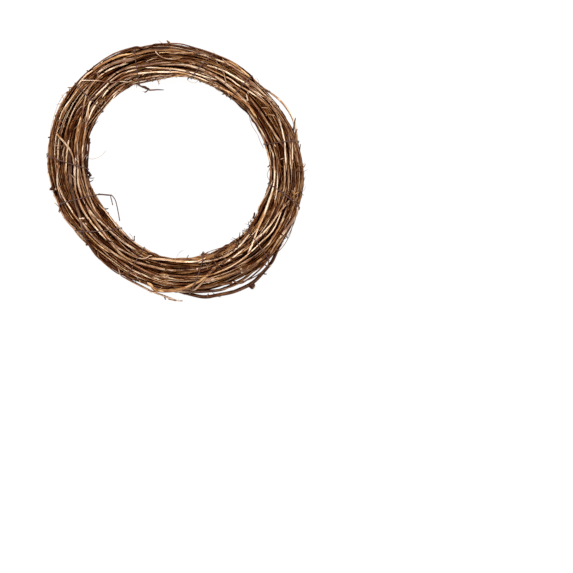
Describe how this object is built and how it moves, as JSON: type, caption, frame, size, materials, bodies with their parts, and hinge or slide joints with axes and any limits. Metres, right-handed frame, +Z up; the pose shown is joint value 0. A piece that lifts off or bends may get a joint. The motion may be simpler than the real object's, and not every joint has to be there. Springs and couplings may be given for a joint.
{
  "type": "grapevine wreath",
  "caption": "Small flat wreath of coiled grapevine stems, bound by a spiral of thin wire, with loose loops, a trailing end and cut stubs.",
  "frame": {"origin": "middle of the ring, on the surface that the wreath lies on", "axes": "+Z up, out of the flat ring; +X to the right and +Y away, as the wreath is seen from above"},
  "size_m": [0.206, 0.2055, 0.0293],
  "materials": {
    "bark_tan": "dry pale vine, bark worn off",
    "bark_brown": "dry brown vine bark, fine lengthwise grain",
    "bark_dark": "dark ridged vine bark",
    "bark_grey": "weathered grey-brown vine, bark peeling",
    "wire": "thin brown florist's wire, dull"
  },
  "bodies": {
    "root": {"loop_vine_low": "bark_dark", "loop_vine_inside_it": "bark_brown", "loop_vine_right": "bark_tan", "trailing_vine": "bark_tan", "vine_05": "bark_brown", "vine_06": "bark_brown", "vine_07": "bark_brown", "vine_08": "bark_brown", "vine_09": "bark_brown", "vine_10": "bark_tan", "vine_11": "bark_brown", "vine_12": "bark_tan", "vine_13": "bark_dark", "vine_14": "bark_brown", "vine_15": "bark_brown", "vine_16": "bark_tan", "vine_17": "bark_brown", "vine_18": "bark_grey", "vine_19": "bark_brown", "vine_20": "bark_tan", "vine_21": "bark_brown", "vine_22": "bark_tan", "vine_23": "bark_brown", "vine_24": "bark_brown", "vine_25": "bark_brown", "vine_26": "bark_tan", "vine_27": "bark_brown", "vine_28": "bark_grey", "vine_29": "bark_grey", "vine_30": "bark_tan", "vine_31": "bark_tan", "vine_32": "bark_brown", "vine_33": "bark_tan", "vine_34": "bark_tan", "vine_35": "bark_dark", "vine_36": "bark_dark", "tie_wire": "wire"}
  },
  "joints": []
}
